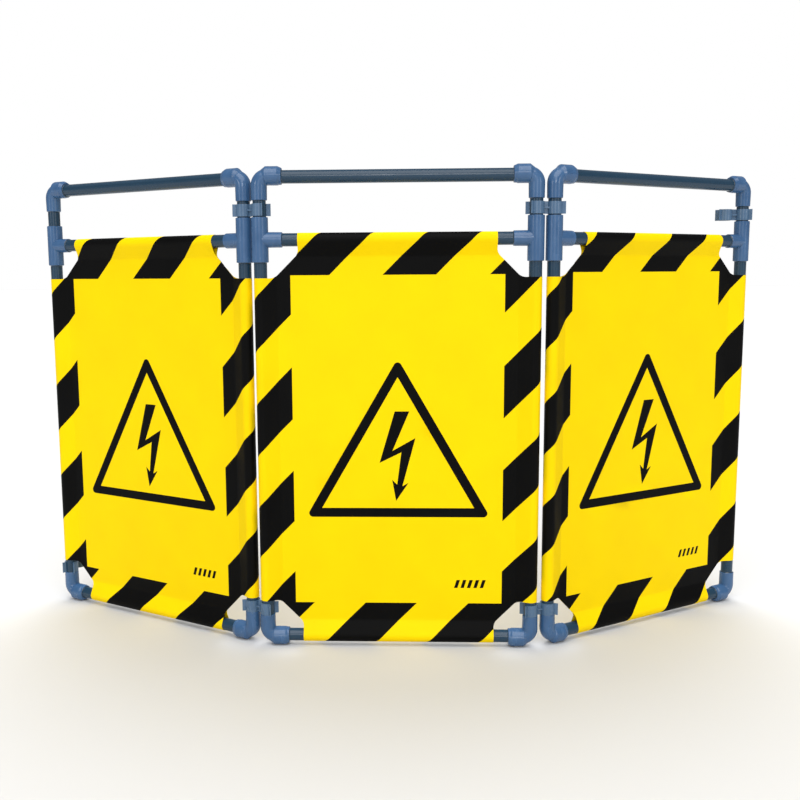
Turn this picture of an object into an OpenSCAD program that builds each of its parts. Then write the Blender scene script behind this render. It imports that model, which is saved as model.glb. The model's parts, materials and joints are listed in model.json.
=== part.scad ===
// Folding safety barrier: three frames of pipe and moulded fittings, each with a sleeved sheet,
// joined by double clips whose open rings swivel on the posts. Millimetres, +Z up, floor at z = 0.

/* [Panel] */
// Distance between the two post axes of a panel
post_spacing = 700; // [450:10:1000]
// Height of a panel, from the floor to the top of its elbows
panel_height = 1258; // [900:1:1600]
// Drop from the top rail's axis to the mid rail's axis
grip_drop = 157; // [150:1:260]

/* [Pipe] */
// Outside diameter of the pipe
pipe_d = 33.4; // [30:0.1:34]
// Wall of the pipe
pipe_wall = 2.7; // [1.5:0.1:4]

/* [Fittings] */
// Elbow, frame corner to the end of its socket
elbow_reach = 58; // [54:1:64]
// Tee, crossing of its axes to the end of each socket
tee_reach = 57; // [52:1:64]
// Depth of every socket
socket_depth = 32; // [20:1:32]
// Outside diameter of a socket at its mouth
mouth_d = 40; // [39:0.5:41]
// Outside diameter of an elbow where it bends
bend_d = 41; // [41:0.5:45]
// Outside diameter of an elbow's heel, the swelling round its level socket
heel_d = 48; // [46:0.5:48]
// Distance of the heel's axis from its pipe's axis, outwards from the panel
heel_shift = 2.7; // [1:0.1:4]
// Outside diameter of a tee's straight run
tee_d = 42.6; // [41:0.2:46]
// Radial gap between a pipe and its socket, filled with cement
cement_gap = 0.05; // [0.02:0.01:0.2]

/* [Sheet] */
// Thickness of the coated fabric
sheet_t = 0.8; // [0.4:0.1:1.2]
// Reach of the corner cut-outs along each pipe, from the frame corners
cutout_reach = 97; // [92:1:130]
// Length along each pipe that the slanted side of a cut-out takes up
cutout_slant = 62; // [30:1:64]
// Radius of the turns at the ends of that slanted side
cutout_round = 25; // [5:1:25]
// Radial gap between a pipe and the sleeve around it
sleeve_gap = 0.1; // [0.05:0.05:0.4]

/* [Double clips] */
// Distance between the two pipe axes that a clip joins
clip_link = 50; // [48:1:70]
// Height of a clip
clip_h = 31; // [20:1:34]
// Wall of a clip's two rings
clip_wall = 3; // [2:0.5:3.5]
// Radial running clearance of a ring on its pipe
clip_gap = 0.05; // [0.02:0.01:0.1]
// Angle that the mouth of a ring leaves open
mouth_angle = 84; // [60:2:100]
// Length of the flared lip on each side of a mouth
lip_length = 9; // [6:0.5:10]
// Gap between a top clip and the tee below it
top_clip_gap = 3; // [0.3:0.1:5]
// Gap between a bottom clip and the elbow below it
bottom_clip_gap = 0.4; // [0.3:0.1:3]

/* [Rest pose] */
// Angle of the left panel, folded back from the centre panel
left_fold = 28; // [0:1:60]
// Angle of the right panel, folded back from the centre panel
right_fold = 32; // [0:1:60]
// Angle of the left hinge clips, turned back from the centre panel
left_link = 28; // [0:1:60]
// Angle of the right hinge clips, turned back from the centre panel
right_link = 17; // [0:1:60]
// Heading of the left spare clip's free ring, from +X towards +Y
left_spare_heading = 85; // [60:1:110]
// Heading of the right spare clip's free ring, from +X towards +Y
right_spare_heading = 180; // [90:1:200]

/* [Hidden] */
$fn = 64;
cut = 1;               // overshoot of a cutting tool past the face it cuts
chamfer = 1;           // chamfer on the mouth of each socket
web_t = 6;             // web that joins a clip's two rings
rib_h = 4.5;           // rib across that web at mid height
rib_depth = 16;        // depth of the rib, front to back
bend_inner_gap = 0.5;  // inside radius left at the throat of an elbow
heel_start = 4;        // place along the level arm where the heel rises out of the bend
heel_ramp = 13;        // length over which it rises
heel_chamfer = 10;     // length of the chamfer at its mouth
heel_start_r = 14;     // radius of the heel at its start
heel_mouth_r = 19.5;   // radius of the heel at its mouth

pipe_r = pipe_d / 2;
bore_r = pipe_r - pipe_wall;
mouth_r = mouth_d / 2;
bend_r = bend_d / 2;
tee_r = tee_d / 2;
heel_r = heel_d / 2;
bend_path_r = bend_r + bend_inner_gap;
half = post_spacing / 2;

// Heights of the three rail axes, and the inner ends of the sockets
bottom_z = heel_r + heel_shift;
top_z = panel_height - bottom_z;
mid_z = top_z - grip_drop;
elbow_stop = elbow_reach - socket_depth;
tee_stop = tee_reach - socket_depth;
top_clip_z = mid_z + tee_reach + top_clip_gap;
bottom_clip_z = bottom_z + elbow_reach + bottom_clip_gap;

// Sleeves around the pipes
sleeve_in = pipe_r + sleeve_gap;
sleeve_out = sleeve_in + sheet_t;

// Where the rounded turns of a corner cut-out meet its square and slanted sides
turn_leg = cutout_round * tan(22.5);
square_end = cutout_reach - cutout_slant - turn_leg;
slant_in = turn_leg * sin(45);

// Rings and lips of a clip
ring_in = pipe_r + clip_gap;
ring_out = ring_in + clip_wall;
ring_mid = ring_in + clip_wall / 2;
mouth_half = mouth_angle / 2;
lip_angle = mouth_half - 4;
lip_reach = ring_mid + lip_length + clip_wall / 2;

// Plan of the panels, with the centre panel's middle at [0, 0]
function heading(a) = [cos(a), sin(a)];
left_hinge = [-half, 0];
right_hinge = [half, 0];
left_inner = left_hinge + clip_link * heading(180 - left_link);
right_inner = right_hinge + clip_link * heading(right_link);
left_outer = left_inner + post_spacing * heading(180 - left_fold);
right_outer = right_inner + post_spacing * heading(right_fold);

// The origin is the middle of the box that the rest pose fills
back_y = left_outer[1] + clip_link * sin(left_spare_heading) + ring_out;
origin = [(left_outer[0] + right_outer[0]) / 2, (back_y - lip_reach) / 2, 0];

SIDES = ["left", "right"];
PANELS = ["centre", "left", "right"];
LEVELS = ["top", "bottom"];

PIPE_COLOUR = [0.17, 0.25, 0.34];
FITTING_COLOUR = [0.33, 0.44, 0.62];
CLIP_COLOUR = [0.27, 0.37, 0.48];
SHEET_COLOUR = [1.0, 0.92, 0.0];

// A pipe along +Z, from one height to another
module pipe(from, to) {
    color(PIPE_COLOUR)
        translate([0, 0, from])
            difference() {
                cylinder(h = to - from, r = pipe_r);
                translate([0, 0, -cut]) cylinder(h = to - from + 2 * cut, r = bore_r);
            }
}

// A pipe across the panel, between the stops of the sockets at its ends
module rail(z, stop) {
    translate([0, 0, z]) rotate([0, 90, 0]) pipe(stop - half, half - stop);
}

module top_rail() { rail(top_z, elbow_stop); }
module mid_rail() { rail(mid_z, tee_stop); }
module bottom_rail() { rail(bottom_z, elbow_stop); }

// Long pipe of a post, from the bottom elbow to the tee
module post(x) {
    translate([x, 0, 0]) pipe(bottom_z + elbow_stop, mid_z - tee_stop);
}

// Short pipe above the tee, up to the top elbow
module stub(x) {
    translate([x, 0, 0]) pipe(mid_z + tee_stop, top_z - elbow_stop);
}

// Outside of a socket along +Z, tapered for the mould and chamfered at its mouth
module socket_body(from, to, root_r, end_r) {
    translate([0, 0, from]) cylinder(h = to - chamfer - from, r1 = root_r, r2 = end_r);
    translate([0, 0, to - chamfer]) cylinder(h = chamfer, r1 = end_r, r2 = end_r - chamfer);
}

// Bore of a socket along +Z
module socket_bore(reach) {
    translate([0, 0, reach - socket_depth])
        cylinder(h = socket_depth + cut, r = pipe_r + cement_gap);
}

// Quarter bend in the XZ plane, between the +Z arm and the +X arm
module quarter_bend(r) {
    translate([bend_path_r, 0, bend_path_r])
        rotate([90, 0, 0])
            rotate([0, 0, 180])
                rotate_extrude(angle = 90) translate([bend_path_r, 0]) circle(r);
}

// Swelling along the outer side of the +X arm
module heel() {
    translate([0, 0, -heel_shift])
        rotate([0, 90, 0])
            rotate_extrude()
                polygon([[0, heel_start], [heel_start_r, heel_start], [heel_r, heel_start + heel_ramp],
                         [heel_r, elbow_reach - heel_chamfer], [heel_mouth_r, elbow_reach],
                         [0, elbow_reach]]);
}

// Elbow with its corner at the origin and its arms along +Z and +X
module elbow() {
    color(FITTING_COLOUR)
        difference() {
            union() {
                quarter_bend(bend_r);
                socket_body(bend_path_r, elbow_reach, bend_r, mouth_r);
                rotate([0, 90, 0]) socket_body(bend_path_r, elbow_reach, bend_r, mouth_r);
                heel();
            }
            quarter_bend(bore_r);
            for (tilt = [0, 90])
                rotate([0, tilt, 0]) {
                    translate([0, 0, bend_path_r]) cylinder(h = elbow_reach, r = bore_r);
                    socket_bore(elbow_reach);
                }
        }
}

// Tee with its run along Z and its branch along +X
module tee() {
    color(FITTING_COLOUR)
        difference() {
            union() {
                for (turn = [0, 180]) rotate([turn, 0, 0]) socket_body(0, tee_reach, tee_r, tee_r);
                rotate([0, 90, 0]) socket_body(0, tee_reach, mouth_r, mouth_r - chamfer / 2);
            }
            translate([0, 0, -tee_reach]) cylinder(h = 2 * tee_reach, r = bore_r);
            rotate([0, 90, 0]) cylinder(h = tee_reach, r = bore_r);
            for (turn = [0, 90, 180]) rotate([0, turn, 0]) socket_bore(tee_reach);
        }
}

// Fittings at the post on side -1 (left) or +1 (right); their branches point into the panel
module at_post(side) {
    translate([side * half, 0, 0]) mirror([side > 0 ? 1 : 0, 0, 0]) children();
}

module top_elbow(side) {
    at_post(side) translate([0, 0, top_z]) mirror([0, 0, 1]) elbow();
}

module bottom_elbow(side) {
    at_post(side) translate([0, 0, bottom_z]) elbow();
}

module mid_tee(side) {
    at_post(side) translate([0, 0, mid_z]) tee();
}

// The pipes that the sheet is sleeved round, drawn at any radius
module sleeved_pipes(r, over) {
    for (x = [-half, half])
        translate([x, 0, bottom_z - over]) cylinder(h = mid_z - bottom_z + 2 * over, r = r);
    for (z = [bottom_z, mid_z])
        translate([-half - over, 0, z]) rotate([0, 90, 0]) cylinder(h = post_spacing + 2 * over, r = r);
}

// Cutter for a corner of the sheet, with its sides along +X and +Z
module corner_cutter() {
    r = cutout_reach;
    translate([0, 2 * sleeve_out, 0])
        rotate([90, 0, 0])
            linear_extrude(4 * sleeve_out) {
                polygon([[-2 * sleeve_out, -2 * sleeve_out], [r, -2 * sleeve_out], [r, square_end],
                         [r - slant_in, square_end + turn_leg + slant_in],
                         [square_end + turn_leg + slant_in, r - slant_in],
                         [square_end, r], [-2 * sleeve_out, r]]);
                translate([r - cutout_round, square_end]) circle(cutout_round);
                translate([square_end, r - cutout_round]) circle(cutout_round);
            }
}

// Sheet with a sleeve along each edge and a cut-out at each corner
module sheet() {
    color(SHEET_COLOUR)
        difference() {
            union() {
                translate([-half, -sheet_t / 2, bottom_z]) cube([post_spacing, sheet_t, mid_z - bottom_z]);
                sleeved_pipes(sleeve_out, 0);
            }
            sleeved_pipes(sleeve_in, cut);
            for (side = [-1, 1])
                at_post(side) {
                    translate([0, 0, bottom_z]) corner_cutter();
                    translate([0, 0, mid_z]) mirror([0, 0, 1]) corner_cutter();
                }
        }
}

// Outline of one ring: its mouth faces -X, and its web runs to x = clip_link / 2
module ring_outline() {
    difference() {
        union() {
            circle(ring_out);
            translate([0, -web_t / 2]) square([clip_link / 2, web_t]);
        }
        circle(ring_in);
        polygon([[0, 0], -2 * ring_out * heading(mouth_half), [-3 * ring_out, 0],
                 -2 * ring_out * heading(-mouth_half)]);
    }
    for (side = [-1, 1])
        translate(-ring_mid * heading(side * mouth_half)) {
            circle(d = clip_wall, $fn = 32);
            rotate(180 + side * lip_angle) {
                translate([0, -clip_wall / 2]) square([lip_length, clip_wall]);
                translate([lip_length, 0]) circle(d = clip_wall, $fn = 32);
            }
        }
}

// Two rings back to back, the first around the origin and the second at x = clip_link
module double_clip() {
    color(CLIP_COLOUR)
        difference() {
            union() {
                linear_extrude(clip_h) {
                    ring_outline();
                    translate([clip_link, 0]) mirror([1, 0]) ring_outline();
                }
                translate([0, -rib_depth / 2, (clip_h - rib_h) / 2]) cube([clip_link, rib_depth, rib_h]);
            }
            for (x = [0, clip_link]) translate([x, 0, -cut]) cylinder(h = clip_h + 2 * cut, r = ring_in);
        }
}

// A double clip at a height, with its first ring on the pipe at a point and its second one on a heading
module clip_at(point, angle, z) {
    translate([point[0], point[1], z]) rotate(angle) double_clip();
}

module left_hinge_clip(z) { clip_at(left_hinge, 180 - left_link, z); }
module right_hinge_clip(z) { clip_at(right_hinge, right_link, z); }
module left_spare_clip() { clip_at(left_outer, left_spare_heading, bottom_clip_z); }
module right_spare_clip() { clip_at(right_outer, right_spare_heading, top_clip_z); }

// Places a panel whose left post is at one point and whose rails run on a heading
module panel_at(left_post, angle) {
    translate([left_post[0], left_post[1], 0]) rotate(angle) translate([half, 0, 0]) children();
}

module place_panel(name) {
    if (name == "centre") panel_at(left_hinge, 0) children();
    if (name == "left") panel_at(left_outer, -left_fold) children();
    if (name == "right") panel_at(right_inner, right_fold) children();
}

translate(-origin) {
    for (p = PANELS)
        place_panel(p) {
            top_rail();
            mid_rail();
            bottom_rail();
            sheet();
            for (i = [0, 1]) {
                side = 2 * i - 1;
                name = str(p, "_panel_", SIDES[i]);
                stub(side * half);
                post(side * half);
                mid_tee(side);
                top_elbow(side);
                bottom_elbow(side);
            }
        }

    left_hinge_clip(top_clip_z);  // left_hinge_top_clip
    left_hinge_clip(bottom_clip_z);  // left_hinge_bottom_clip
    right_hinge_clip(top_clip_z);  // right_hinge_top_clip
    right_hinge_clip(bottom_clip_z);  // right_hinge_bottom_clip
    left_spare_clip();
    right_spare_clip();
}
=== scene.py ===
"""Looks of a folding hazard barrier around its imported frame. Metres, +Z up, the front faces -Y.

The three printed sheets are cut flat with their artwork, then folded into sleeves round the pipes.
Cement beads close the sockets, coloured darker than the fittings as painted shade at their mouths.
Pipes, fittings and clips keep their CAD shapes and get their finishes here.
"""

import json
import math

import bpy
from mathutils import Matrix, Vector
from mathutils.geometry import delaunay_2d_cdt


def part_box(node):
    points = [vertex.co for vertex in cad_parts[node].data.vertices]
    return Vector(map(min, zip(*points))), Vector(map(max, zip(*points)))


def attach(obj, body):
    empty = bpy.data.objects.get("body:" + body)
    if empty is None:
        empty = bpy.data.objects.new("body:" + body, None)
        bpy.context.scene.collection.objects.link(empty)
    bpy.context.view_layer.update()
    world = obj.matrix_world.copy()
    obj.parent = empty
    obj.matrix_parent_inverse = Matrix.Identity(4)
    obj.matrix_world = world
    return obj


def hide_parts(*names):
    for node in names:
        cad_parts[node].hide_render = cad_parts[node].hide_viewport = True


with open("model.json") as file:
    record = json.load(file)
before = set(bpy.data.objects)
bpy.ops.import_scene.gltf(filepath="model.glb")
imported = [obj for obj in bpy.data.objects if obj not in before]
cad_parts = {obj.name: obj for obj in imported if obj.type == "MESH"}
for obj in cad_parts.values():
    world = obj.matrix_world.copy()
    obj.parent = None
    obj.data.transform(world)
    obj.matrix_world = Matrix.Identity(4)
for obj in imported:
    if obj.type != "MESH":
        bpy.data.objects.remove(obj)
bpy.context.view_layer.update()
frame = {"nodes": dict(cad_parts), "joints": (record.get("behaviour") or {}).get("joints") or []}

MM = 0.001
UP = Vector((0, 0, 1))

# ---------------------------------------------------------------- the frame's own measures

JOINT_AT = {joint["name"]: Vector(joint["pos_m"]) for joint in frame["joints"]}

# Each panel's body, with the joints whose axes are its left and right posts
PANEL_POSTS = {
    "centre_panel": ("left_hinge_inner", "right_hinge_inner"),
    "left_panel": ("left_spare_swivel", "left_hinge_outer"),
    "right_panel": ("right_hinge_outer", "right_spare_swivel"),
}
SIDES = ("left", "right")


def axis_height(node):
    """Height of a level pipe's axis, and the pipe's outer radius."""
    low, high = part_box(node)
    return (low.z + high.z) / 2, (high.z - low.z) / 2


BOTTOM_Z, PIPE_R = axis_height("centre_panel_bottom_rail")
MID_Z, _ = axis_height("centre_panel_mid_rail")
TOP_Z, _ = axis_height("centre_panel_top_rail")
POST_SPACING = (JOINT_AT["right_hinge_inner"] - JOINT_AT["left_hinge_inner"]).length
HALF_W = POST_SPACING / 2
HALF_H = (MID_Z - BOTTOM_Z) / 2
SHEET_Z = (MID_Z + BOTTOM_Z) / 2


def panel_matrix(body, height=0.0):
    """Places a panel's own axes: x along its rails from the left post, y to the back, z up."""
    left, right = (JOINT_AT[name] for name in PANEL_POSTS[body])
    across = (right - left).normalized()
    middle = (left + right) / 2 + UP * height
    axes = Matrix((across, UP.cross(across), UP)).transposed()
    return Matrix.Translation(middle) @ axes.to_4x4()


# ---------------------------------------------------------------- the hem, folded round a pipe

SHEET_T = 0.8 * MM
SLEEVE_R = PIPE_R + 0.1 * MM + SHEET_T / 2   # middle of the cloth where it goes round a pipe
FOLD_IN = 45 * MM        # distance from a pipe's axis at which the sheet stops being flat
WELD_IN = 42 * MM        # distance from a pipe's axis at which the sleeve closes
FLAP_END = 62 * MM       # distance from a pipe's axis at which the welded flap ends
FLAP_Y = SHEET_T + 0.1 * MM   # depth of the flap, which lies on the back of the sheet
CUT_REACH = 97 * MM      # length of pipe that a corner cut-out bares, from the crossing of the axes
CUT_SLANT = 62 * MM      # length along each pipe that the cut-out's slanted side takes up
CUT_ROUND = 25 * MM      # radius of the turns at the ends of that side
ARC_STEP = math.radians(12)
CREASE = 3 * MM          # length over which the cloth turns at the weld
CREASE_STEPS = 4
SPAN_STEPS = 6           # pieces of the straight span between the weld and the pipe


def creased(before, corner, after):
    """Points that round off a corner of the hem's line, by a quadratic curve."""
    start = corner + (before - corner).normalized() * CREASE
    end = corner + (after - corner).normalized() * CREASE
    points = []
    for i in range(CREASE_STEPS + 1):
        t = i / CREASE_STEPS
        points.append(start * (1 - t) ** 2 + corner * 2 * t * (1 - t) + end * t ** 2)
    return points


def inner_points(start, end):
    """Points that divide a straight span of the hem's line, without its ends."""
    return [start.lerp(end, i / SPAN_STEPS) for i in range(1, SPAN_STEPS)]


def hem_line():
    """The hem's line across a pipe, as (distance from the axis towards the middle, depth to the back).

    It runs from the flat sheet over the front of the pipe, round it, and back to the flap's free edge.
    """
    front_weld = Vector((WELD_IN, 0))
    back_weld = Vector((WELD_IN, FLAP_Y))
    front_angle = -math.acos(SLEEVE_R / front_weld.length)
    back_angle = math.atan2(FLAP_Y, WELD_IN) + math.acos(SLEEVE_R / back_weld.length) - 2 * math.pi
    steps = math.ceil((front_angle - back_angle) / ARC_STEP)
    arc = []
    for i in range(steps + 1):
        angle = front_angle + (back_angle - front_angle) * i / steps
        arc.append(Vector((math.cos(angle), math.sin(angle))) * SLEEVE_R)
    line = [Vector((FOLD_IN + CREASE, 0))]
    line += creased(line[0], front_weld, arc[0])
    line += inner_points(line[-1], arc[0])
    line += arc
    back_crease = creased(arc[-1], back_weld, Vector((FLAP_END, FLAP_Y)))
    line += inner_points(arc[-1], back_crease[0])
    line += back_crease
    line.append(Vector((FLAP_END, FLAP_Y)))
    return line


HEM = hem_line()
HEM_S = [0.0]            # length of cloth from the start of the hem to each of its points
for before, after in zip(HEM, HEM[1:]):
    HEM_S.append(HEM_S[-1] + (after - before).length)
FLAT_U = HALF_W - HEM[0].x    # half the width of the flat middle of the sheet
FLAT_V = HALF_H - HEM[0].x    # half its height
CUT_U = FLAT_U + HEM_S[-1]    # half the width that the cloth is cut to
CUT_V = FLAT_V + HEM_S[-1]    # half the length that it is cut to


def hem_normals():
    """Direction that the printed front faces at each point of the hem's line."""
    normals = []
    last = len(HEM) - 1
    for i in range(len(HEM)):
        along = (HEM[min(i + 1, last)] - HEM[max(i - 1, 0)]).normalized()
        normals.append(Vector((-along.y, along.x)))
    return normals


HEM_NORMALS = hem_normals()


def on_hem(s):
    """(place, front normal) on the hem's line after s metres of cloth."""
    for i in range(1, len(HEM_S)):
        if s <= HEM_S[i] or i == len(HEM_S) - 1:
            t = (s - HEM_S[i - 1]) / (HEM_S[i] - HEM_S[i - 1])
            t = max(0.0, min(1.0, t))
            normal = HEM_NORMALS[i - 1].lerp(HEM_NORMALS[i], t).normalized()
            return HEM[i - 1].lerp(HEM[i], t), normal


# ---------------------------------------------------------------- the cloth, flat and folded

RIPPLE = 1.1 * MM        # height of the slack in the middle of a sheet
RIPPLE_FROM = 68 * MM    # distance from a pipe's axis at which the slack starts
RIPPLE_FULL = 190 * MM   # and at which it is full
BROAD_SHARE, UPRIGHT_SHARE, FOLD_SHARE = 0.6, 0.35, 0.4    # parts of the slack in each kind of wave
BROAD_TURN_U, BROAD_TURN_V = 9, 5    # radians per metre of the broad waves
UPRIGHT_TURN = 17        # of the upright waves
UPRIGHT_WANDER = 2.5     # radians by which the upright waves wander sideways
UPRIGHT_WANDER_TURN = 4  # radians per metre of that wander
FOLD_TURN = 26           # of the folds that run in from the corners
FOLD_FROM, FOLD_FULL = 0.35, 0.75    # |u| + |v| in metres at which those folds start and are full
PHASE_STEP = 1.3         # phase of the waves from one panel's sheet to the next


def smooth(value, low, high):
    t = max(0.0, min(1.0, (value - low) / (high - low)))
    return t * t * (3 - 2 * t)


def ripple(u, v, phase):
    """Depth of the cloth's slack: broad waves, and faint folds that run in from the corners."""
    inset = min(HALF_W - abs(u), HALF_H - abs(v))
    fade = smooth(inset, RIPPLE_FROM, RIPPLE_FULL)
    broad = math.sin(BROAD_TURN_U * u + phase) * math.cos(BROAD_TURN_V * v - 2 * phase)
    upright = math.sin(UPRIGHT_TURN * u + UPRIGHT_WANDER * math.sin(UPRIGHT_WANDER_TURN * v + phase))
    folds = math.sin(FOLD_TURN * (abs(u) - abs(v)) + phase)
    folds *= smooth(abs(u) + abs(v), FOLD_FROM, FOLD_FULL)
    return RIPPLE * fade * (BROAD_SHARE * broad + UPRIGHT_SHARE * upright + FOLD_SHARE * folds)


def folded(u, v, phase):
    """(point, front normal) in the panel's own axes, for a point of the flat cloth."""
    if abs(u) > FLAT_U:
        place, normal = on_hem(abs(u) - FLAT_U)
        side = math.copysign(1, u)
        return Vector((side * (HALF_W - place.x), place.y, v)), Vector((-side * normal.x, normal.y, 0))
    if abs(v) > FLAT_V:
        place, normal = on_hem(abs(v) - FLAT_V)
        side = math.copysign(1, v)
        return Vector((u, place.y, side * (HALF_H - place.x))), Vector((0, normal.y, -side * normal.x))
    return Vector((u, ripple(u, v, phase), v)), Vector((0, -1, 0))


TURN_FROM = CUT_REACH - CUT_SLANT - CUT_ROUND * math.tan(math.radians(22.5))
SLANT_SUM = 2 * CUT_REACH - CUT_SLANT    # both distances from the pipe axes, added up on the slant


def hem_end(inset):
    """Distance from the frame corner, along a pipe, at which the cut-out ends the hem."""
    past = inset - TURN_FROM
    if past <= 0:
        return CUT_REACH
    if past <= CUT_ROUND * math.sin(math.radians(45)):
        return CUT_REACH - CUT_ROUND + math.sqrt(CUT_ROUND ** 2 - past ** 2)
    return SLANT_SUM - inset


def corner_outline():
    """Cut edge in the corner at +u +v, from the right hem's flap to the top hem's flap."""
    right = [(FLAT_U + s, HALF_H - hem_end(place.x)) for place, s in zip(HEM, HEM_S)]
    top = [(HALF_W - hem_end(place.x), FLAT_V + s) for place, s in zip(HEM, HEM_S)]
    return right[::-1] + top


def cut_outline():
    """Outline of the flat cloth: its four corners, counterclockwise from +u +v."""
    corner = corner_outline()
    outline = list(corner)
    outline += [(-u, v) for u, v in reversed(corner)]
    outline += [(-u, -v) for u, v in corner]
    outline += [(u, -v) for u, v in reversed(corner)]
    return outline


# ---------------------------------------------------------------- the print

FIELD_U = 274 * MM       # half the width of the plain yellow field inside the striped border
FIELD_V = 434 * MM       # half its height
STRIPE_PERIOD = 273 * MM     # from one stripe to the next, measured level
STRIPE_SHIFT = 6 * MM    # level offset of the yellow stripe that aims at the middle

SIGN_SIDE = 400 * MM     # inner side of the triangle
SIGN_BASE = -175 * MM    # height of its inner base, from the middle of the sheet
SIGN_STROKE = 24.5 * MM
SIGN_ROUND = 10.5 * MM   # outer corner radius
SIGN_INNER_R = SIGN_SIDE / (2 * math.sqrt(3))
SIGN_CENTRE = SIGN_BASE + SIGN_INNER_R

BOLT = [(u * MM, v * MM) for u, v in (
    (-8, 82), (30, 82), (-14, -22), (46, 12), (12, -116), (28, -107),
    (-5, -156), (-15, -99), (-2, -112), (9, -26), (-48, -54),
)]

BAR_COUNT = 5            # slanted bars in the small generic mark
BAR_PITCH = 17 * MM
BAR_WIDTH = 9 * MM
BAR_HEIGHT = 22 * MM
BAR_SLANT = 7 * MM
MARK_AT = (148 * MM, -392 * MM)


TRIANGLE_TURNS = (90, 210, 330)    # headings of a triangle's three corners
ROUND_STEPS = 8


def rounded_triangle(inner_r, radius):
    """Triangle that points up, whose sides lie inner_r from its middle, with round corners."""
    points = []
    middle = 2 * (inner_r - radius)
    for turn in TRIANGLE_TURNS:
        at = Vector((math.cos(math.radians(turn)), math.sin(math.radians(turn)))) * middle
        for i in range(ROUND_STEPS + 1):
            angle = math.radians(turn - 60 + 120 * i / ROUND_STEPS)
            points.append((at.x + radius * math.cos(angle),
                           at.y + radius * math.sin(angle) + SIGN_CENTRE))
    return points


def sharp_triangle(inner_r):
    """Triangle that points up, whose sides lie inner_r from its middle."""
    return [(2 * inner_r * math.cos(math.radians(turn)),
             2 * inner_r * math.sin(math.radians(turn)) + SIGN_CENTRE) for turn in TRIANGLE_TURNS]


def mark_bars():
    bars = []
    for i in range(BAR_COUNT):
        u, v = MARK_AT[0] + i * BAR_PITCH, MARK_AT[1]
        bars.append([(u, v), (u + BAR_WIDTH, v),
                     (u + BAR_WIDTH + BAR_SLANT, v + BAR_HEIGHT), (u + BAR_SLANT, v + BAR_HEIGHT)])
    return bars


SIGN_OUTER = rounded_triangle(SIGN_INNER_R + SIGN_STROKE, SIGN_ROUND)
SIGN_INNER = sharp_triangle(SIGN_INNER_R)
MARK = mark_bars()


def inside(outline, u, v):
    """True if a point lies inside a closed outline."""
    found = False
    for (u0, v0), (u1, v1) in zip(outline, outline[1:] + outline[:1]):
        if (v0 > v) != (v1 > v) and u < u0 + (v - v0) * (u1 - u0) / (v1 - v0):
            found = not found
    return found


def is_black(u, v, striped):
    """The artwork of one face, seen from its own side. Only the front has the striped border.

    The hems, turned over from the front, bring that border round to the back.
    """
    if abs(u) > FIELD_U or abs(v) > FIELD_V:
        return striped and 0.25 <= ((u - v - STRIPE_SHIFT) / STRIPE_PERIOD) % 1 < 0.75
    if inside(SIGN_OUTER, u, v):
        return not inside(SIGN_INNER, u, v) or inside(BOLT, u, v)
    return any(inside(bar, u, v) for bar in MARK)


BLEED = 20 * MM          # print past the edge of the cloth
PRINT_U, PRINT_V = CUT_U + BLEED, CUT_V + BLEED


def stripe_edges():
    """Straight edges of the border's stripes, outside the plain field, over the whole print."""
    edges = []
    reach = PRINT_U + PRINT_V
    first = math.floor(-reach / STRIPE_PERIOD)
    for k in range(2 * first, -2 * first):
        level = STRIPE_SHIFT + STRIPE_PERIOD * (0.25 + 0.5 * k)
        low = max(-PRINT_U, level - PRINT_V)
        high = min(PRINT_U, level + PRINT_V)
        enter = max(-FIELD_U, level - FIELD_V)
        leave = min(FIELD_U, level + FIELD_V)
        spans = [(low, enter), (leave, high)] if enter < leave else [(low, high)]
        edges += [((a, a - level), (b, b - level)) for a, b in spans if b - a > MM]
    return edges


def loop_edges(outline):
    return list(zip(outline, outline[1:] + outline[:1]))


def print_edges(striped):
    """Every edge of one face's artwork, as seen from its own side."""
    field = [(-FIELD_U, -FIELD_V), (FIELD_U, -FIELD_V), (FIELD_U, FIELD_V), (-FIELD_U, FIELD_V)]
    edges = stripe_edges() + loop_edges(field) if striped else []
    for outline in [SIGN_OUTER, SIGN_INNER, BOLT] + MARK:
        edges += loop_edges(outline)
    return edges


def hem_edges():
    """Lines along the four hems, at each point of the hem's line, for the cloth to bend on."""
    edges = []
    for place, s in zip(HEM[:-1], HEM_S[:-1]):
        end_u, end_v = HALF_W - hem_end(place.x), HALF_H - hem_end(place.x)
        for side in (-1, 1):
            v = side * (FLAT_V + s)
            u = side * (FLAT_U + s)
            edges.append(((-end_u, v), (end_u, v)))
            edges.append(((u, -end_v), (u, end_v)))
    return edges


GRID = 28 * MM           # spacing of the points that carry the slack
GRID_CLEAR = 7 * MM      # room left between them and a cut-out's slanted side
MERGE = 0.01 * MM        # points of the flat cloth closer than this become one
SHARP = 50               # degrees between two faces of the cloth, past which their edge stays sharp


def grid_points():
    across, up = round(FLAT_U / GRID), round(FLAT_V / GRID)
    points = []
    for i in range(-across + 1, across):
        for j in range(-up + 1, up):
            u, v = i * FLAT_U / across, j * FLAT_V / up
            if HALF_W - abs(u) + HALF_H - abs(v) > SLANT_SUM + GRID_CLEAR:
                points.append((u, v))
    return points


def flat_cloth(print_at):
    """The flat cloth as triangles, cut along its outline and along the print of both faces.

    print_at is the place of the print's middle on the cloth.
    """
    at_u, at_v = print_at
    points = cut_outline()
    outline = list(range(len(points)))
    edges = []
    artwork = [((side * a + at_u, b + at_v), (side * c + at_u, d + at_v))
               for side in (1, -1) for (a, b), (c, d) in print_edges(side == 1)]
    for a, b in artwork + hem_edges():
        edges.append((len(points), len(points) + 1))
        points += [a, b]
    points += grid_points()
    found = delaunay_2d_cdt([Vector(p) for p in points], edges, [outline], 1, MERGE, True)
    corners, triangles, parents = found[0], found[2], found[5]
    kept = [t for t, faces in zip(triangles, parents) if 0 in faces]
    used = sorted({i for t in kept for i in t})
    number = {old: new for new, old in enumerate(used)}
    return [corners[i] for i in used], [[number[i] for i in t] for t in kept]


# ---------------------------------------------------------------- mesh and material helpers

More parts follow.
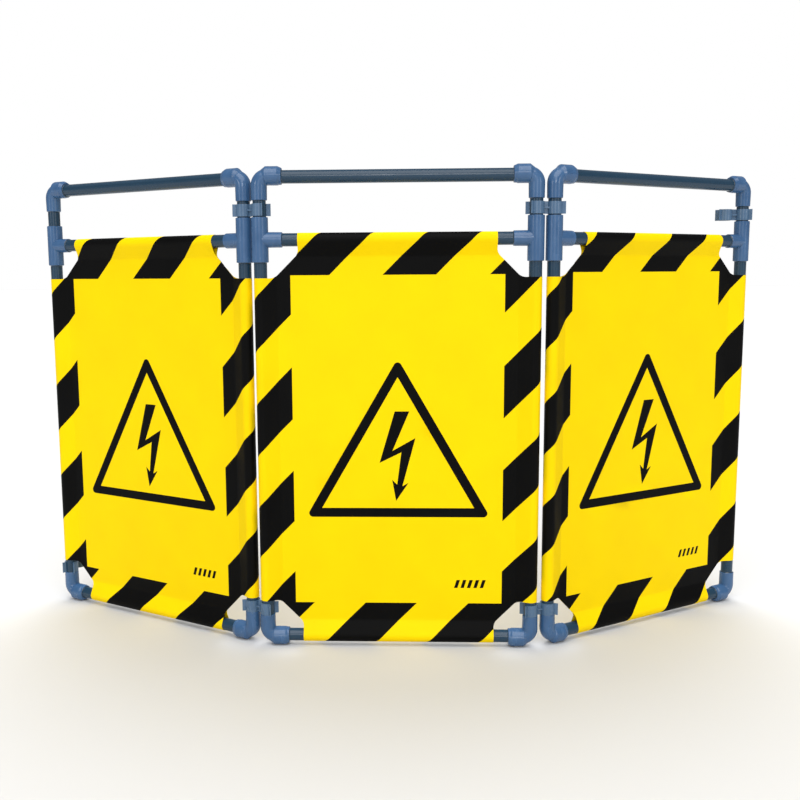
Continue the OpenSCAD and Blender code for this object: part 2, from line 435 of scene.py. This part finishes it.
def link(name, mesh):
    piece = bpy.data.objects.new(name, mesh)
    bpy.context.scene.collection.objects.link(piece)
    return piece


class Surface:
    """A material under construction: its shader, and short calls for the nodes that feed it."""

    def __init__(self, name, roughness, **values):
        self.material = bpy.data.materials.new(name)
        self.material.use_nodes = True
        self.tree = self.material.node_tree
        self.shader = self.tree.nodes["Principled BSDF"]
        self.set(self.shader, Roughness=roughness, **values)

    def set(self, node, **values):
        for name, value in values.items():
            node.inputs[name.replace("_", " ")].default_value = value
        return node

    def add(self, kind, **values):
        return self.set(self.tree.nodes.new("ShaderNode" + kind), **values)

    def join(self, output, target):
        self.tree.links.new(output, target)

    def coordinates(self, scale=(1, 1, 1), turn=0.0, uv=None):
        """Coordinates of the object or of a UV map, turned about Z, then scaled along each axis."""
        if uv:
            source = self.add("UVMap")
            source.uv_map = uv
            output = source.outputs["UV"]
        else:
            output = self.add("TexCoord").outputs["Object"]
        turned = self.add("Mapping", Rotation=(0, 0, turn))
        scaled = self.add("Mapping", Scale=scale)
        self.join(output, turned.inputs["Vector"])
        self.join(turned.outputs["Vector"], scaled.inputs["Vector"])
        return scaled.outputs["Vector"]

    def noise(self, vector, scale, detail=3.0):
        texture = self.add("TexNoise", Scale=scale, Detail=detail)
        self.join(vector, texture.inputs["Vector"])
        return texture.outputs["Fac"]

    def ramp(self, value, low, high, at=(0.3, 0.7)):
        """Colours from low to high as value goes over the span at."""
        ramp = self.add("ValToRGB")
        self.join(value, ramp.inputs["Fac"])
        for stop, colour, place in zip(ramp.color_ramp.elements, (low, high), at):
            stop.color = (*colour, 1)
            stop.position = place
        return ramp.outputs["Color"]

    def span(self, value, low, high):
        """A number from low to high as value goes over its middle."""
        spread = self.add("MapRange", From_Min=0.3, From_Max=0.7, To_Min=low, To_Max=high)
        self.join(value, spread.inputs["Value"])
        return spread.outputs["Result"]

    def colour(self, output):
        self.join(output, self.shader.inputs["Base Color"])

    def roughness(self, output):
        self.join(output, self.shader.inputs["Roughness"])

    def bump(self, output, distance, strength=1.0):
        """Adds relief of a height in metres; each call lies on the one before."""
        bump = self.add("Bump", Strength=strength, Distance=distance)
        self.join(output, bump.inputs["Height"])
        normal = self.shader.inputs["Normal"]
        if normal.is_linked:
            self.join(normal.links[0].from_socket, bump.inputs["Normal"])
        self.join(bump.outputs["Normal"], normal)


# ---------------------------------------------------------------- plastics

def pipe_material(name, turn, stretch):
    """Extruded pipe: faint draw lines along its length, and a slightly uneven satin skin."""
    s = Surface(name, roughness=0.3, Specular_IOR_Level=0.4)
    lines = s.noise(s.coordinates(stretch, turn), 1.0, detail=4.0)
    patches = s.noise(s.coordinates(), 14.0)
    s.colour(s.ramp(lines, (0.006, 0.028, 0.055), (0.011, 0.040, 0.075)))
    s.roughness(s.span(patches, 0.22, 0.34))
    s.bump(lines, 0.05 * MM)
    return s.material


def moulded_material(name, dark, light, low_gloss, high_gloss):
    """Moulded fitting: soft flow marks in its colour, and a very fine orange-peel skin."""
    s = Surface(name, roughness=0.28, Specular_IOR_Level=0.5)
    flow = s.noise(s.coordinates((1, 1, 0.4)), 38.0)
    peel = s.noise(s.coordinates(), 420.0, detail=1.0)
    s.colour(s.ramp(flow, dark, light))
    s.roughness(s.span(flow, low_gloss, high_gloss))
    s.bump(peel, 0.03 * MM)
    return s.material


def cement_painted_shade_material():
    """Dried solvent cement: a clear-edged, glossier skin, darker than the fittings as painted shade at
    the socket mouths.
    """
    s = Surface("cement", roughness=0.22, IOR=1.5)
    wet = s.noise(s.coordinates(), 260.0)
    # Both tones are darker than the fittings': painted shade along the socket mouths.
    s.colour(s.ramp(wet, (0.010, 0.022, 0.036), (0.022, 0.044, 0.074)))
    s.roughness(s.span(wet, 0.16, 0.3))
    s.bump(wet, 0.1 * MM)
    return s.material


# ---------------------------------------------------------------- printed sheet

# Place of the print's middle on each cloth, to the right of and above the cloth's own middle
PRINT_AT = {"centre_panel": (0, 0), "left_panel": (-7 * MM, -7 * MM),
            "right_panel": (-11 * MM, 4 * MM)}

THREAD = 1.1 * MM        # spacing of the threads that show through the coating
WAVES_PER_SCALE = 20 / (2 * math.pi)    # waves in a unit of length at a wave texture's scale of 1
CLOTH_UV = "cloth"       # UV map that holds the flat cloth's own place, in metres


def print_material(name, low, high, low_gloss, high_gloss):
    """Ink on coated fabric: the threads below show as a fine grid, with soft handling marks."""
    s = Surface(name, roughness=0.5, Specular_IOR_Level=0.06)
    flat = s.coordinates(uv=CLOTH_UV)
    marks = s.noise(flat, 7.0)
    s.colour(s.ramp(marks, low, high))
    s.roughness(s.span(marks, low_gloss, high_gloss))
    for direction in ("X", "Y"):
        threads = s.add("TexWave", Scale=1 / (THREAD * WAVES_PER_SCALE))
        threads.bands_direction = direction
        s.join(flat, threads.inputs["Vector"])
        s.bump(threads.outputs["Fac"], 0.03 * MM)
    return s.material


def sheet_mesh(name, phase, print_at, materials):
    """The folded sheet as a thin closed solid. Returns its mesh and the flat cloth's area."""
    corners, triangles = flat_cloth(print_at)
    half_t = SHEET_T / 2
    front, back = [], []
    for corner in corners:
        point, normal = folded(corner.x, corner.y, phase)
        front.append(point + normal * half_t)
        back.append(point - normal * half_t)
    count = len(corners)
    faces, blacks, edge_uses, area = [], [], {}, 0.0
    for a, b, c in triangles:
        middle = (corners[a] + corners[b] + corners[c]) / 3
        area += abs((corners[b] - corners[a]).cross(corners[c] - corners[a])) / 2
        faces += [(a, b, c), (count + c, count + b, count + a)]
        u, v = middle.x - print_at[0], middle.y - print_at[1]
        blacks += [is_black(u, v, True), is_black(-u, v, False)]
        for edge in ((a, b), (b, c), (c, a)):
            edge_uses[edge] = blacks[-2]
    for (a, b), black in edge_uses.items():
        if (b, a) not in edge_uses:
            faces.append((b, a, count + a, count + b))
            blacks.append(black)
    mesh = bpy.data.meshes.new(name)
    mesh.from_pydata(front + back, [], faces)
    for material in materials:
        mesh.materials.append(material)
    cloth = mesh.uv_layers.new(name=CLOTH_UV)
    for face, black in zip(mesh.polygons, blacks):
        face.material_index = int(black)
        face.use_smooth = True
        for loop in face.loop_indices:
            cloth.data[loop].uv = corners[mesh.loops[loop].vertex_index % count]
    mesh.set_sharp_from_angle(angle=math.radians(SHARP))
    return mesh, area


def make_sheets():
    yellow = print_material("printed_yellow", (0.83, 0.585, 0.0), (0.87, 0.62, 0.0), 0.5, 0.58)
    black = print_material("printed_black", (0.001, 0.001, 0.001), (0.002, 0.002, 0.002), 0.46, 0.56)
    for number, body in enumerate(PANEL_POSTS):
        mesh, area = sheet_mesh(body + "_printed_sheet", PHASE_STEP * number,
                                PRINT_AT[body], (yellow, black))
        mesh.transform(panel_matrix(body, SHEET_Z))
        sheet = link(body + "_printed_sheet", mesh)
        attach(sheet, body)
        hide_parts(body + "_sheet")
        pipes = [f"{body}_{side}_post" for side in SIDES]
        pipes += [body + "_mid_rail", body + "_bottom_rail"]


make_sheets()


# ---------------------------------------------------------------- cement at the sockets, darkened as painted shade

ELBOW_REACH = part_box("centre_panel_left_bottom_elbow")[1].x - JOINT_AT["left_hinge_inner"].x
TEE_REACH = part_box("centre_panel_left_tee")[1].x - JOINT_AT["left_hinge_inner"].x

# Section of a bead of cement, as (distance from the pipe, distance from the socket's mouth)
BEAD = [(-0.2 * MM, -0.3 * MM), (-0.2 * MM, 1.7 * MM), (0.15 * MM, 1.5 * MM), (0.5 * MM, 0.7 * MM),
        (1.0 * MM, 0.25 * MM), (1.7 * MM, 0.1 * MM), (1.8 * MM, -0.3 * MM)]
BEAD_STEPS = 40
SWELL_WIDE, SWELL_FINE = 0.22, 0.13    # unevenness of a bead's width, in two and in five waves

# Posts whose bottom elbow has a clip resting on its mouth, which leaves no room for a bead
CLIPPED_FEET = (("left_panel", "left"), ("left_panel", "right"), ("centre_panel", "left"),
                ("centre_panel", "right"), ("right_panel", "left"))


def socket_mouths(body):
    """(place, direction out of the socket) of each mouth to be cemented, in the panel's own axes."""
    mouths = []
    for side, sign in zip(SIDES, (-1, 1)):
        inward = Vector((-sign, 0, 0))
        corner = Vector((sign * HALF_W, 0, 0))
        for height, upright in ((BOTTOM_Z, UP), (TOP_Z, -UP)):
            at = corner + UP * height
            mouths.append((at + inward * ELBOW_REACH, inward))
            if height == TOP_Z or (body, side) not in CLIPPED_FEET:
                mouths.append((at + upright * ELBOW_REACH, upright))
        for direction in (UP, -UP, inward):
            mouths.append((corner + UP * MID_Z + direction * TEE_REACH, direction))
    return mouths


def add_bead(points, faces, place, out, phase):
    """A closed, slightly uneven ring of cement round a pipe, as it dries after jointing."""
    first = len(points)
    side = out.orthogonal().normalized()
    other = out.cross(side)
    count = len(BEAD)
    for i in range(BEAD_STEPS):
        angle = 2 * math.pi * i / BEAD_STEPS
        around = side * math.cos(angle) + other * math.sin(angle)
        swell = 1 + SWELL_WIDE * math.sin(2 * angle + phase)
        swell += SWELL_FINE * math.sin(5 * angle - 2 * phase)
        for away, along in BEAD:
            along = along * swell if along > 0 else along
            points.append(place + around * (PIPE_R + away) + out * along)
        for j in range(count):
            a, b = first + i * count + j, first + i * count + (j + 1) % count
            c = first + (i + 1) % BEAD_STEPS * count + (j + 1) % count
            d = first + (i + 1) % BEAD_STEPS * count + j
            faces.append((a, b, c, d))


def make_cement():
    cement = cement_painted_shade_material()
    for body in PANEL_POSTS:
        points, faces = [], []
        for phase, (place, out) in enumerate(socket_mouths(body)):
            add_bead(points, faces, place, out, phase)
        mesh = bpy.data.meshes.new(body + "_cement")
        mesh.from_pydata(points, [], faces)
        mesh.materials.append(cement)
        for face in mesh.polygons:
            face.use_smooth = True
        mesh.transform(panel_matrix(body))
        beads = link(body + "_cement", mesh)
        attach(beads, body)


make_cement()


# ---------------------------------------------------------------- finishes of the CAD pieces

def rail_turn(body):
    """Angle that turns a panel's rails onto the X axis."""
    across = panel_matrix(body).to_3x3() @ Vector((1, 0, 0))
    return -math.atan2(across.y, across.x)


def paint(node, material):
    piece = frame["nodes"][node]
    for place in piece.material_slots:
        place.material = material


ALONG = 0.6              # draw lines: noise features per metre along a pipe
ACROSS = 900.0           # and across it


def finish_cad():
    upright = pipe_material("pipe_upright", 0.0, (ACROSS, ACROSS, ALONG))
    fitting = moulded_material("fitting", (0.030, 0.084, 0.188), (0.042, 0.108, 0.228), 0.2, 0.3)
    clip = moulded_material("clip", (0.055, 0.110, 0.190), (0.074, 0.138, 0.230), 0.22, 0.34)
    for body in PANEL_POSTS:
        level = pipe_material("pipe_level_" + body, rail_turn(body), (ALONG, ACROSS, ACROSS))
        for rail in ("top_rail", "mid_rail", "bottom_rail"):
            paint(f"{body}_{rail}", level)
        for side in SIDES:
            for part in ("post", "stub"):
                paint(f"{body}_{side}_{part}", upright)
            for part in ("tee", "top_elbow", "bottom_elbow"):
                paint(f"{body}_{side}_{part}", fitting)
    for name in frame["nodes"]:
        if name.endswith("clip"):
            paint(name, clip)


finish_cad()


# ---------------------------------------------------------------- studio

CAMERA_FROM_CENTRE = Vector((0.0368, -2.4226, 0))   # from the middle of the centre panel
CAMERA_HEIGHT = 0.9856
CAMERA_YAW = 2.25        # degrees, to the left
CAMERA_PITCH = -7.59     # degrees, looking down
CAMERA_ROLL = 0.35
CAMERA_LENS = 42.4       # millimetres
CAMERA_SENSOR = 36       # width, millimetres
CAMERA_SHIFT = 0.031

AMBIENT = 0.3            # light from all round
FLOOR_ALBEDO = 0.61
FLOOR_SIZE = 60.0        # half the floor's side, metres


def add_camera():
    data = bpy.data.cameras.new("camera")
    data.lens = CAMERA_LENS
    data.sensor_width = CAMERA_SENSOR
    data.shift_x = CAMERA_SHIFT
    camera = bpy.data.objects.new("camera", data)
    bpy.context.scene.collection.objects.link(camera)
    centre = (JOINT_AT["left_hinge_inner"] + JOINT_AT["right_hinge_inner"]) / 2
    at = centre + CAMERA_FROM_CENTRE + UP * CAMERA_HEIGHT
    turn = Matrix.Rotation(math.radians(CAMERA_YAW), 4, "Z")
    tilt = Matrix.Rotation(math.radians(90 + CAMERA_PITCH), 4, "X")
    roll = Matrix.Rotation(math.radians(-CAMERA_ROLL), 4, "Z")
    camera.matrix_world = Matrix.Translation(at) @ turn @ tilt @ roll
    bpy.context.scene.camera = camera


def add_sun(name, strength, angle, elevation, azimuth, glints=True):
    """A distant light as wide as its angle; elevation and azimuth in degrees, azimuth 0 is the front.

    Without glints it lights surfaces but doesn't show in their gloss.
    """
    data = bpy.data.lights.new(name, "SUN")
    data.energy = strength
    data.angle = math.radians(angle)
    sun = bpy.data.objects.new(name, data)
    bpy.context.scene.collection.objects.link(sun)
    sun.rotation_euler = (math.radians(90 - elevation), 0, math.radians(azimuth))
    sun.visible_glossy = glints


def add_world():
    """Even light from all round, behind a white backdrop."""
    world = bpy.data.worlds.new("studio")
    world.use_nodes = True
    bpy.context.scene.world = world
    tree = world.node_tree
    light = tree.nodes["Background"]
    light.inputs["Color"].default_value = (1, 1, 1, 1)
    light.inputs["Strength"].default_value = AMBIENT
    backdrop = tree.nodes.new("ShaderNodeBackground")
    backdrop.inputs["Color"].default_value = (1, 1, 1, 1)
    mix = tree.nodes.new("ShaderNodeMixShader")
    seen = tree.nodes.new("ShaderNodeLightPath").outputs["Is Camera Ray"]
    tree.links.new(seen, mix.inputs["Fac"])
    tree.links.new(light.outputs["Background"], mix.inputs[1])
    tree.links.new(backdrop.outputs["Background"], mix.inputs[2])
    tree.links.new(mix.outputs["Shader"], tree.nodes["World Output"].inputs["Surface"])


def add_floor():
    size = FLOOR_SIZE
    mesh = bpy.data.meshes.new("floor")
    mesh.from_pydata([(-size, -size, 0), (size, -size, 0), (size, size, 0), (-size, size, 0)],
                     [], [(0, 1, 2, 3)])
    floor = link("floor", mesh)
    s = Surface("floor", roughness=0.9)
    s.shader.inputs["Base Color"].default_value = (*[FLOOR_ALBEDO] * 3, 1)
    mesh.materials.append(s.material)


add_camera()
add_sun("overhead", 2.5, 60, 60, 0)
add_sun("front", 0.6, 14, 14, 0)
add_sun("left_key", 0.3, 10, 10, -48)
add_sun("right_key", 0.3, 10, 10, 48)
add_sun("rear", 2.6, 50, 55, 180, glints=False)
add_world()
add_floor()
bpy.context.scene.view_settings.view_transform = "Standard"
